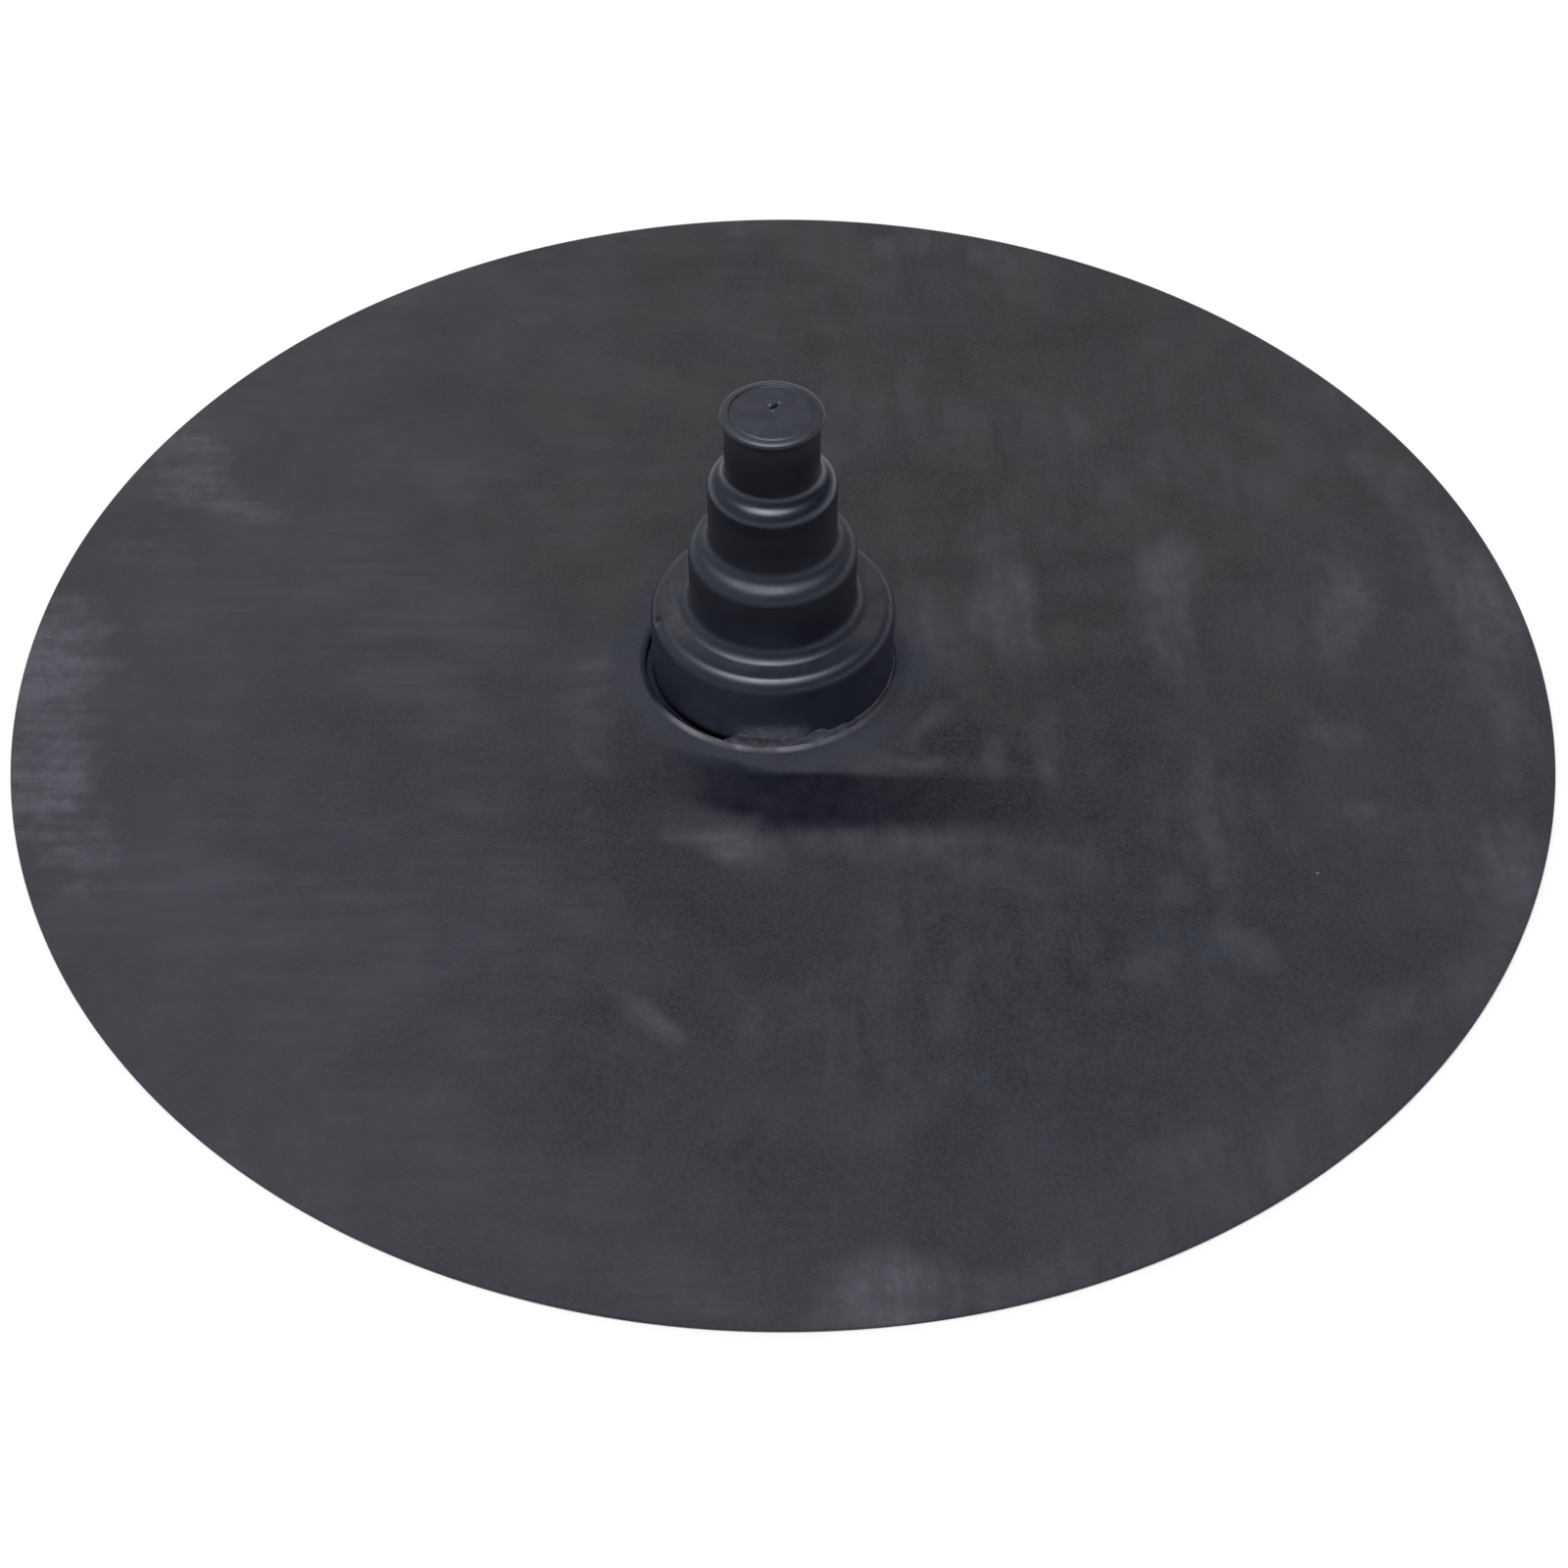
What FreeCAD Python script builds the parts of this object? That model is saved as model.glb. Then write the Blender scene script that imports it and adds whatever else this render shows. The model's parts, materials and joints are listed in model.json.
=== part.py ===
import FreeCAD, Part
import os

# A four-tier rubber pipe boot bonded to a round sheet of rubber membrane. Millimetres.
# The origin is on the pipe's axis, at the underside that lies on the roof. +Z points up along the pipe.

# Membrane sheet
SHEET_RADIUS = 250.0
SHEET_THICK = 1.2
SHEET_OFF_CENTRE = 3.2  # the sheet is cut by hand, so its centre is this far from the pipe's axis, along +X
HOLE_RADIUS = 41.2
HOLE_OFF_CENTRE = -0.9  # the hole's centre, along X from the pipe's axis
LIP_RISE = 0.7  # how far the hole's edge is turned up
LIP_WIDTH = 2.2
RAMP_INNER = 54.0  # the sheet comes down from the hidden flange to the roof between these radii
RAMP_OUTER = 66.0

# Boot: outside radius, top and shoulder radius of each tier, from the roof up; the last one is the cap
TIERS = [(39.6, 29.0, 2.6), (26.8, 55.0, 4.0), (20.3, 81.5, 4.0), (14.75, 106.0, 0.0)]
WALL = 2.0
FOOT = 1.4  # fillet where a tier stands on the one below
INNER_FOOT = 0.8
FLANGE_RADIUS = 52.0
FLANGE_THICK = 1.6
FLANGE_FILLET = 0.5

# Cap
CAP_THICK = 2.4
RIM_RADIUS = 15.9
RIM_DEPTH = 2.1
RIM_ROUND = 0.9
RECESS_RADIUS = 13.0
RECESS_DEPTH = 0.35
GATE_RADIUS = 1.3  # the stub left where the rubber was injected
GATE_X = 0.9  # from the pipe's axis
GATE_Y = 3.3
GATE_HEIGHT = 0.45
GATE_HOLE_RADIUS = 0.5
GATE_HOLE_DEPTH = 1.0

# Bonding layer
BOND_THICK = 0.4
BOND_INNER = 42.6
BOND_OUTER = 51.0

# Sealant bead
BEAD_GAP = 0.05  # clear of the rubber on both sides
BEAD_HEIGHT = 3.1  # on the tier's wall, above the flange
BEAD_SLOPE = 1.2  # how much lower it is at the sheet's edge
VOID_START = 152.0  # degrees from +X: the bead is missing over this arc
VOID_END = 247.0

SHEET_CENTRE = FreeCAD.Vector(SHEET_OFF_CENTRE, 0, 0)
HOLE_CENTRE = FreeCAD.Vector(HOLE_OFF_CENTRE, 0, 0)
PIPE_AXIS = FreeCAD.Vector(0, 0, 0)
GATE_CENTRE = FreeCAD.Vector(GATE_X, GATE_Y, 0)
UP = FreeCAD.Vector(0, 0, 1)
LIFT = FLANGE_THICK + BOND_THICK  # underside of the sheet where it lies over the flange


def at(radius, height):
    """A point of a profile that is turned about the Z axis."""
    return FreeCAD.Vector(radius, 0, height)


class Profile:
    """An outline of straight runs and tangent quarter arcs in the XZ plane."""

    def __init__(self, radius, height):
        self.start = at(radius, height)
        self.last = self.start
        self.edges = []

    def line(self, radius, height):
        """A straight run to the point."""
        end = at(radius, height)
        if (end - self.last).Length > 1e-6:
            self.edges.append(Part.LineSegment(self.last, end).toShape())
        self.last = end

    def arc(self, radius, height, centre):
        """A circular arc to the point, the short way round the centre."""
        end = at(radius, height)
        middle = (self.last - centre) + (end - centre)
        middle = centre + middle.normalize() * (end - centre).Length
        self.edges.append(Part.Arc(self.last, middle, end).toShape())
        self.last = end

    def solid(self, centre):
        """The closed outline turned a full turn about the vertical line through centre."""
        self.line(self.start.x, self.start.z)
        turned = Part.Face(Part.Wire(self.edges)).revolve(PIPE_AXIS, UP, 360)
        turned.translate(centre)
        return turned


def disc(radius, bottom, top, centre=PIPE_AXIS):
    """An upright cylinder."""
    return Part.makeCylinder(radius, top - bottom, centre + FreeCAD.Vector(0, 0, bottom), UP)


def save(shape, name):
    """Writes one node, after checking that it is one closed solid."""
    assert shape.isValid() and len(shape.Solids) == 1, name
    solid = shape.Solids[0]
    print(name, round(solid.Volume, 1), "mm3")
    solid.exportStep("parts/" + name + ".step")


def climb(profile, inset, foot):
    """Goes up the tiers' side to the last tier's wall, inset from the outside by a wall's thickness or 0."""
    for (outer, outer_top, outer_shoulder), (above, *_) in zip(TIERS, TIERS[1:]):
        radius = outer - inset
        top = outer_top - inset
        shoulder = outer_shoulder - inset
        next_radius = above - inset
        profile.line(radius, top - shoulder)
        profile.arc(radius - shoulder, top, at(radius - shoulder, top - shoulder))
        profile.line(next_radius + foot, top)
        profile.arc(next_radius, top + foot, at(next_radius + foot, top + foot))


def stepped_boot():
    """The hollow moulding, with its base flange and its closed, rimmed cap."""
    foot_radius = TIERS[0][0]
    wall_radius, cap_top, _ = TIERS[-1]
    rim_bottom = cap_top - RIM_DEPTH
    outside = Profile(0, 0)
    outside.line(FLANGE_RADIUS, 0)
    outside.line(FLANGE_RADIUS, FLANGE_THICK)
    fillet_top = FLANGE_THICK + FLANGE_FILLET
    outside.line(foot_radius + FLANGE_FILLET, FLANGE_THICK)
    outside.arc(foot_radius, fillet_top, at(foot_radius + FLANGE_FILLET, fillet_top))
    climb(outside, 0, FOOT)
    outside.line(wall_radius, rim_bottom)
    outside.line(RIM_RADIUS - RIM_ROUND, rim_bottom)
    outside.arc(RIM_RADIUS, rim_bottom + RIM_ROUND, at(RIM_RADIUS - RIM_ROUND, rim_bottom + RIM_ROUND))
    outside.line(RIM_RADIUS, cap_top - RIM_ROUND)
    outside.arc(RIM_RADIUS - RIM_ROUND, cap_top, at(RIM_RADIUS - RIM_ROUND, cap_top - RIM_ROUND))
    outside.line(RECESS_RADIUS, cap_top)
    outside.line(RECESS_RADIUS - RECESS_DEPTH, cap_top - RECESS_DEPTH)
    outside.line(0, cap_top - RECESS_DEPTH)

    inside = Profile(0, 0)
    inside.line(TIERS[0][0] - WALL, 0)
    climb(inside, WALL, INNER_FOOT)
    inside.line(wall_radius - WALL, cap_top - CAP_THICK)
    inside.line(0, cap_top - CAP_THICK)

    face = cap_top - RECESS_DEPTH
    gate = disc(GATE_RADIUS, face - RECESS_DEPTH, face + GATE_HEIGHT, GATE_CENTRE)
    gate_hole = disc(GATE_HOLE_RADIUS, face + GATE_HEIGHT - GATE_HOLE_DEPTH, face + 2 * GATE_HEIGHT, GATE_CENTRE)
    return outside.solid(PIPE_AXIS).cut(inside.solid(PIPE_AXIS)).fuse(gate).cut(gate_hole).removeSplitter()


def ramp(profile, outer, inner, low, high):
    """An S-shaped rise of two equal tangent arcs, from (outer, low) in to (inner, high)."""
    run = (outer - inner) / 2
    rise = (high - low) / 2
    radius = (run * run + rise * rise) / (2 * rise)
    middle_radius = outer - run
    middle_height = low + rise
    profile.arc(middle_radius, middle_height, at(outer, low + radius))
    profile.arc(inner, high, at(inner, high - radius))


def membrane_disc():
    """The flat sheet, rising over the boot's flange to the turned-up edge of its hole."""
    top = LIFT + SHEET_THICK
    lip_top = top + LIP_RISE
    over = Profile(RAMP_OUTER + 1, 0)
    over.line(RAMP_OUTER, 0)
    ramp(over, RAMP_OUTER, RAMP_INNER, 0, LIFT)
    over.line(HOLE_RADIUS, LIFT)
    over.line(HOLE_RADIUS, lip_top)
    over.line(HOLE_RADIUS + LIP_WIDTH / 2, lip_top)
    over.line(HOLE_RADIUS + LIP_WIDTH, top)
    over.line(RAMP_INNER, top)
    down = Profile(RAMP_OUTER, SHEET_THICK)
    ramp(down, RAMP_OUTER, RAMP_INNER, SHEET_THICK, top)
    over.edges += list(reversed(down.edges))
    over.last = at(RAMP_OUTER, SHEET_THICK)
    over.line(RAMP_OUTER + 1, SHEET_THICK)
    flat = disc(SHEET_RADIUS, 0, SHEET_THICK, SHEET_CENTRE)
    flat = flat.cut(disc(RAMP_OUTER + 1, -1, SHEET_THICK + 1, HOLE_CENTRE))
    return flat.fuse(over.solid(HOLE_CENTRE)).removeSplitter()


def bond_ring():
    """The bonding layer, face to face with the flange below and the sheet above."""
    ring = disc(BOND_OUTER, FLANGE_THICK, LIFT)
    return ring.cut(disc(BOND_INNER, FLANGE_THICK, LIFT))


def void_wedge():
    """The sector where the bead is missing."""
    reach = 2 * HOLE_RADIUS
    sweep = VOID_END - VOID_START
    turn = FreeCAD.Rotation(UP, VOID_START)
    wedge = Part.makeCylinder(reach, reach, FreeCAD.Vector(0, 0, 0), UP, sweep)
    wedge.Placement = FreeCAD.Placement(FreeCAD.Vector(0, 0, 0), turn)
    return wedge


def sealant_bead():
    """The sealant in the gap between the hole's edge and the lowest tier, open on one side."""
    inner = TIERS[0][0] + BEAD_GAP
    bottom = FLANGE_THICK + FLANGE_FILLET
    outer = HOLE_RADIUS - BEAD_GAP
    reach = outer - inner - HOLE_OFF_CENTRE
    filling = Profile(inner, bottom)
    filling.line(inner + reach, bottom)
    filling.line(inner + reach, bottom + BEAD_HEIGHT - BEAD_SLOPE)
    filling.line(inner, bottom + BEAD_HEIGHT)
    ring = filling.solid(PIPE_AXIS).common(disc(outer, 0, 2 * BEAD_HEIGHT + bottom, HOLE_CENTRE))
    return ring.cut(void_wedge())


os.makedirs("parts", exist_ok=True)
save(membrane_disc(), "membrane_disc")
save(stepped_boot(), "stepped_boot")
save(bond_ring(), "bond_ring")
save(sealant_bead(), "sealant_bead")
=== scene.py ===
import bmesh
import bpy
import json
import math
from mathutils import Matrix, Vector, noise


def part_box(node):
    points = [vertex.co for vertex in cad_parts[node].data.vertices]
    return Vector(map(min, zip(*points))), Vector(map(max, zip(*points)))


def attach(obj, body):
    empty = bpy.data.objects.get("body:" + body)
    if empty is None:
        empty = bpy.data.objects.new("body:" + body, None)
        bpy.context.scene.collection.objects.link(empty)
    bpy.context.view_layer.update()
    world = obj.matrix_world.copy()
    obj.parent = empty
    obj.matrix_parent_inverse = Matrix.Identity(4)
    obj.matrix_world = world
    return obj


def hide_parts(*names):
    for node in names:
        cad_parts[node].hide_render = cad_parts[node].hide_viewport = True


# A black rubber pipe boot on a round rubber membrane, lying on a pale floor. Metres, in the CAD frame.
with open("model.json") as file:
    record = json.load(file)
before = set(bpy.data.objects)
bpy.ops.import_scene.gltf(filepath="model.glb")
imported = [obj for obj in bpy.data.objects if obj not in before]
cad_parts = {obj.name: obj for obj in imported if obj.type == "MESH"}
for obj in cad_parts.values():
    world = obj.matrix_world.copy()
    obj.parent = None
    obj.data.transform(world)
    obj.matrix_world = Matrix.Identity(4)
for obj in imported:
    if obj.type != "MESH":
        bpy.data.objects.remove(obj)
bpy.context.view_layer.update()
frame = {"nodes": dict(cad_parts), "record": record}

# Sheet
SHEET_THICK = 0.0012
EDGE_DROP = 0.3  # how much lower its upper edges are, as a share of its thickness
HOLE_RADIUS = 0.0412
HOLE_X = -0.0009
HOLE_UNEVEN = 0.00035
LIP_WIDTH = 0.0024  # the edge of the hole is turned up over this width
RAMP_INNER = 0.0535  # the sheet comes down off the hidden flange between these radii
RAMP_OUTER = 0.0665
SWELL = 0.0006  # height of the low waves left in the flat sheet
FOLD_RISE = 0.0007  # the sheet stays a little raised behind a straight fold, in front and to the right
FOLD_Y = -0.064
FOLD_HALF = 0.010
FOLD_END = 0.097
RING_STEP = 0.0022
AROUND = 400
TALC_BELOW = 0.1  # how much talc lies on the underside, from 0 to 1

# Boot
WALL = 0.002
SHOULDERS = (0.0044, 0.0052, 0.0050)  # rounding at the top of each tier
FEET = (0.0047, 0.0045, 0.0042)  # hollow rounding above each of them, where the next tier stands
INNER_FOOT = 0.0008  # CAD's rounding below each bore's straight wall
BOOT_UNEVEN = 0.00016
FLANGE_RADIUS = 0.052
FLANGE_THICK = 0.0016
FLANGE_FILLET = 0.0005
EDGE_ROUNDING = 0.0003  # of the flange and of the corner under the cap's rim
LATHE_STEPS = 256
NICK_ANGLE = math.radians(193)
NICK_WIDTH = math.radians(2.6)
NICK_RADIUS = 0.0386
NICK_HEIGHT = 0.0282
NICK_RISE = 0.0014
NICK_DEPTH = 0.0007

# Cap
CAP_THICK = 0.0024
RIM_RADIUS = 0.0159
RIM_DEPTH = 0.0021
CREST_RADIUS = 0.0136
FACE_RADIUS = 0.0128
FACE_DEPTH = 0.00035
FACE_GROOVE = 0.00022  # the face starts this much lower, beside the crest
FACE_UNEVEN = 0.00004
GATE_X = 0.0009  # the mark left where the rubber was injected
GATE_Y = 0.0033
GATE_REACH = 0.0056  # the mesh is finer inside this radius

# Sealant
BEAD_HEIGHT = 0.0031
BEAD_SLOPE = 0.0013  # how much lower it is at the sheet's edge
BEAD_STEPS = 260
FILM_RISE = 0.0022  # how far the sealant is smeared up the wall in front
FILM_THICK = 0.00006
VOID_START = math.radians(152)  # the bead is missing between these angles from +X
VOID_END = math.radians(247)

# Light and camera
LENS = 57.67
CAMERA_PLACE = Vector((0.00356, -0.59115, 0.58510))
CAMERA_PITCH = math.radians(47.44)
SUN_ELEVATION = math.radians(86)
SUN_AZIMUTH = math.radians(180)  # where the light stands, from +X: a little to the left
SUN_SPREAD = math.radians(34)
SUN_STRENGTH = 2.84
FLOOR_RADIUS = 6.0
FLOOR_COVE = 1.4  # radius of the curve between the floor and the wall
FLOOR_GAP = 0.0001  # the floor lies this far below the object
FLOOR_STEPS = 96
BACKDROP_TOP = 2.4
SKY_LEFT = 0.46  # strength of the sky on the left and on the right
SKY_RIGHT = 0.02

NOISE_SEED = 1  # noise_vector would start from the clock without it
noise.seed_set(NOISE_SEED)

low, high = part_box("membrane_disc")
SHEET_RADIUS = (high.x - low.x) / 2
SHEET_X = (high.x + low.x) / 2
LIP_TOP = high.z
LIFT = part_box("bond_ring")[1].z
CAP_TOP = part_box("stepped_boot")[1].z
mounts = {mount["name"]: mount for mount in frame["record"]["mounts"]}


def tiers():
    """Outside radius, top and shoulder radius of each stepped tier, read from the bores."""
    found = []
    for number, shoulder in enumerate(SHOULDERS, 1):
        radius = mounts[f"tier_{number}_bore"]["dims"]["r_mm"] / 1000 + WALL
        above = mounts[f"tier_{number + 1}_bore"]
        wall_start = above["pos_m"][2] - above["dims"]["length_mm"] / 2000
        found.append((radius, wall_start + WALL - INNER_FOOT, shoulder))
    return found


TIERS = tiers()
FOOT_RADIUS = TIERS[0][0]
LAST_RADIUS = mounts["tier_4_bore"]["dims"]["r_mm"] / 1000 + WALL  # outside radius of the topmost tier
LOW_LEDGE, MIDDLE_LEDGE, HIGH_LEDGE = (top for _, top, _ in TIERS)
CAP_FACE = CAP_TOP - FACE_DEPTH


def smooth(value, start, end):
    """0 at start, 1 at end, with level ends."""
    step = min(max((value - start) / (end - start), 0.0), 1.0)
    return step * step * (3 - 2 * step)


def hump(x, y, width, height):
    """A round bump of that width and height, at the distance (x, y) from its middle."""
    return height * math.exp(-(x * x + y * y) / (2 * width * width))


def join_rings(first, second, count):
    """Faces between two rings of count points; first and second are where the rings start."""
    faces = []
    for step in range(count):
        after = (step + 1) % count
        faces.append((first + step, first + after, second + after, second + step))
    return faces


def close_ring(ring, hub, count):
    """Triangles between a ring of count points and the point in its middle."""
    return [(ring + step, ring + (step + 1) % count, hub) for step in range(count)]


def mesh_object(name, points, faces):
    """A smooth-shaded mesh piece."""
    mesh = bpy.data.meshes.new(name)
    mesh.from_pydata(points, [], faces)
    work = bmesh.new()
    work.from_mesh(mesh)
    bmesh.ops.recalc_face_normals(work, faces=work.faces)
    work.to_mesh(mesh)
    work.free()
    mesh.shade_smooth()
    piece = bpy.data.objects.new(name, mesh)
    bpy.context.scene.collection.objects.link(piece)
    return piece


# ---------------------------------------------------------------- sheet

def ripple(x, y):
    """Low irregular waves of the sheet, never below zero."""
    spot = Vector((x * 9, y * 9, 0.3))
    wave = 0.5 + 0.5 * noise.noise(spot) + 0.25 * noise.noise(spot * 2.3)
    return SWELL * min(max(wave, 0.0), 1.0)


def fold(x, y):
    """Extra rise behind the straight fold that runs from the boot to the right."""
    front = smooth(y, FOLD_Y - FOLD_HALF, FOLD_Y + FOLD_HALF)
    back = 1 - smooth(y, FOLD_Y + FOLD_HALF, FOLD_Y + 7 * FOLD_HALF)
    sides = smooth(x, -0.05, 0.0) * (1 - smooth(x, FOLD_END - 0.03, FOLD_END + 0.012))
    return FOLD_RISE * front * back * sides


def underside(x, y):
    """Height of the sheet's underside."""
    reach = math.hypot(x - HOLE_X, y)
    over_flange = 1 - smooth(reach, RAMP_INNER, RAMP_OUTER)
    loose = ripple(x, y) * smooth(reach, RAMP_INNER, 2 * RAMP_OUTER)
    loose *= 1 - 0.7 * smooth(math.hypot(x - SHEET_X, y), 0.9 * SHEET_RADIUS, SHEET_RADIUS)
    return LIFT * over_flange + (loose + fold(x, y)) * (1 - over_flange)


def turned_up(angle):
    """Rise of the hole's edge. It is lowest on the left, where it stands off the boot."""
    share = 0.86 + 0.14 * math.sin(5 * angle + 1) - 0.8 * hump(angle - math.pi, 0, 0.6, 1)
    return share * (LIP_TOP - LIFT - SHEET_THICK)


def sheet_point(reach, angle):
    """A point of the sheet's underside. The rings' centre moves from the hole's to the disc's."""
    centre = HOLE_X + (SHEET_X - HOLE_X) * smooth(reach, RAMP_OUTER, SHEET_RADIUS)
    near = 1 - smooth(reach, HOLE_RADIUS, HOLE_RADIUS + LIP_WIDTH)
    uneven = HOLE_UNEVEN * noise.noise(Vector((math.cos(angle) * 3, math.sin(angle) * 3, 7)))
    place = reach + uneven * near
    x = centre + place * math.cos(angle)
    y = place * math.sin(angle)
    return x, y, underside(x, y) + near * turned_up(angle)


# Talc smears: centre x, y; half length, half width; direction in degrees; strength. Millimetres.
SMEARS = [
    (-240, 0, 38, 26, 92, 1.0), (-232, -44, 44, 22, 100, 0.90), (-214, -84, 34, 18, 118, 0.60),
    (-208, 104, 30, 18, 108, 0.75), (-196, 84, 28, 12, -33, 0.75), (-214, 52, 52, 34, 85, 0.34),
    (-198, 40, 40, 11, -8, 0.40), (-142, 36, 34, 6, 3, 0.36), (-176, 33, 30, 6, -5, 0.36),
    (-186, -26, 22, 8, -10, 0.40), (-120, 45, 52, 5, -2, 0.18), (-88, 214, 46, 13, 88, 0.40),
    (-140, 200, 34, 18, 50, 0.28), (-16, 240, 20, 14, 95, 0.40), (48, 234, 26, 18, 20, 0.40),
    (84, 222, 22, 12, -35, 0.42), (-82, 150, 56, 16, 90, 0.18), (78, 28, 48, 12, 96, 0.46),
    (56, 10, 34, 13, 100, 0.38), (136, 46, 24, 12, 60, 0.52), (132, 12, 38, 9, -80, 0.44),
    (138, -70, 44, 9, 92, 0.36), (190, 26, 40, 12, 86, 0.48), (236, 30, 52, 20, 96, 0.56),
    (222, 84, 42, 13, 118, 0.34), (138, 98, 32, 9, -30, 0.22), (186, -33, 16, 10, -20, 0.44),
    (188, -68, 10, 8, 0, 0.44), (226, -92, 30, 18, 78, 0.56), (139, -120, 12, 11, 10, 0.42),
    (110, -131, 22, 9, 8, 0.32), (121, -97, 16, 9, 80, 0.34), (-35, -146, 13, 8, -62, 0.68),
    (-52, -155, 13, 4, 35, 0.30), (-6, -148, 18, 8, 85, 0.34), (-95, -185, 22, 6, 28, 0.34),
    (-84, -204, 30, 5, 92, 0.30), (32, -240, 27, 13, 12, 0.74), (-14, -238, 18, 9, -15, 0.42),
    (70, -232, 30, 12, 18, 0.36), (118, -198, 32, 12, 30, 0.34), (205, -130, 40, 13, 62, 0.34),
    (-58, -14, 28, 14, 70, 0.34), (-60, -40, 30, 7, 130, 0.26), (-52, -78, 26, 6, -68, 0.26),
    (-14, -84, 22, 9, -24, 0.62), (-6, -72, 13, 7, 60, 0.48), (36, -84, 38, 10, 0, 0.40),
    (40, -108, 24, 20, 40, 0.26), (20, -150, 44, 20, -25, 0.26), (66, -96, 34, 10, -12, 0.28),
    (45, -30, 18, 5, 41, 0.36), (40, -46, 24, 4.5, 3, 0.34), (92, -86, 30, 8, -4, 0.26),
    (0, 200, 64, 56, 0, 0.22), (150, -175, 44, 16, 35, 0.24), (72, -42, 16, 8, 70, 0.28),
    (92, -40, 24, 6, -78, 0.26), (232, -20, 34, 12, 110, 0.34), (176, -150, 30, 10, 50, 0.30),
]


def smeared(x, y):
    """How much talc lies at a point of the sheet, from 0 to 1."""
    spot = Vector((x * 24, y * 24, 5))
    push = noise.noise_vector(spot) * 0.009 + noise.noise_vector(spot * 4) * 0.0045
    x = 1000 * (x + push.x)
    y = 1000 * (y + push.y)
    most = 0.0
    for centre_x, centre_y, length, width, direction, strength in SMEARS:
        if abs(x - centre_x) + abs(y - centre_y) > 2.6 * length:
            continue
        turn = math.radians(direction)
        along = ((x - centre_x) * math.cos(turn) + (y - centre_y) * math.sin(turn)) / length
        across = ((y - centre_y) * math.cos(turn) - (x - centre_x) * math.sin(turn)) / width
        most = max(most, strength * (1 - smooth(math.hypot(along, across), 0.15, 1.45)))
    return most


def ring_radii():
    """Radii of the sheet's rings, close together where it bends."""
    lip = [HOLE_RADIUS + LIP_WIDTH * step / 6 for step in range(7)]
    top = [RAMP_INNER - 0.0088 + 0.0011 * step for step in range(8)]
    ramp = [RAMP_INNER + (RAMP_OUTER - RAMP_INNER) * step / 12 for step in range(13)]
    flat = []
    reach = RAMP_OUTER
    while reach + RING_STEP < SHEET_RADIUS - 0.0006:
        reach += RING_STEP
        flat.append(reach)
    return lip + top + ramp + flat + [SHEET_RADIUS - 0.0004, SHEET_RADIUS]


def membrane_sheet():
    """The closed sheet, with its hole's edge turned up against the boot."""
    radii = ring_radii()
    rows = len(radii)
    points = []
    talc = []
    for side in (0, 1):
        for reach in radii:
            thick = SHEET_THICK * side
            if reach in (radii[0], radii[-1]):
                thick *= 1 - EDGE_DROP
            for step in range(AROUND):
                x, y, z = sheet_point(reach, 2 * math.pi * step / AROUND)
                points.append((x, y, z + thick))
                talc.append(smeared(x, y) if side else TALC_BELOW)
    faces = []
    for side in (0, 1):
        for row in range(side * rows, side * rows + rows - 1):
            faces += join_rings(row * AROUND, (row + 1) * AROUND, AROUND)
    for row in (0, rows - 1):
        faces += join_rings(row * AROUND, (rows + row) * AROUND, AROUND)
    piece = mesh_object("membrane_sheet", points, faces)
    layer = piece.data.attributes.new("talc", "FLOAT", "POINT")
    layer.data.foreach_set("value", talc)
    return piece


# ---------------------------------------------------------------- boot

def arc(centre, radius, start, end, steps):
    """Points of an arc in the (radius, height) plane, angles in degrees, its first point left out."""
    out = []
    for step in range(1, steps + 1):
        angle = math.radians(start + (end - start) * step / steps)
        out.append((centre[0] + radius * math.cos(angle), centre[1] + radius * math.sin(angle)))
    return out


def wall(profile, radius, top, steps):
    """A straight wall in several runs, so that it can be uneven."""
    bottom = profile[-1][1]
    for step in range(1, steps + 1):
        profile.append((radius, bottom + (top - bottom) * step / steps))


def side_of_tiers(profile, inset):
    """Up the tiers' side to the foot of the last one, inset by the wall's thickness or 0."""
    radii = [radius for radius, _, _ in TIERS[1:]] + [LAST_RADIUS]
    for (radius, top, shoulder), above, foot in zip(TIERS, radii, FEET):
        lean = math.asin(max(1 - (radius - above) / (shoulder + foot), 0.0))
        drop = shoulder * math.cos(lean)
        degrees = math.degrees(lean)
        wall(profile, radius - inset, top - drop, 8)
        profile += arc((radius - shoulder, top - drop), shoulder - inset, 0, 90 - degrees, 12)
        profile += arc((above + foot, top + foot * math.cos(lean)), foot + inset, 270 - degrees, 180, 10)


def flange_profile():
    """From the mouth's edge round the base flange to the foot of the lowest tier."""
    small = EDGE_ROUNDING
    profile = [(FOOT_RADIUS - WALL, 0.0), (FLANGE_RADIUS - small, 0.0), (FLANGE_RADIUS, small)]
    profile += [(FLANGE_RADIUS, FLANGE_THICK - small), (FLANGE_RADIUS - small, FLANGE_THICK)]
    fillet = FLANGE_FILLET
    profile += [(FOOT_RADIUS + fillet, FLANGE_THICK)]
    return profile + arc((FOOT_RADIUS + fillet, FLANGE_THICK + fillet), fillet, 270, 180, 5)


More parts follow.
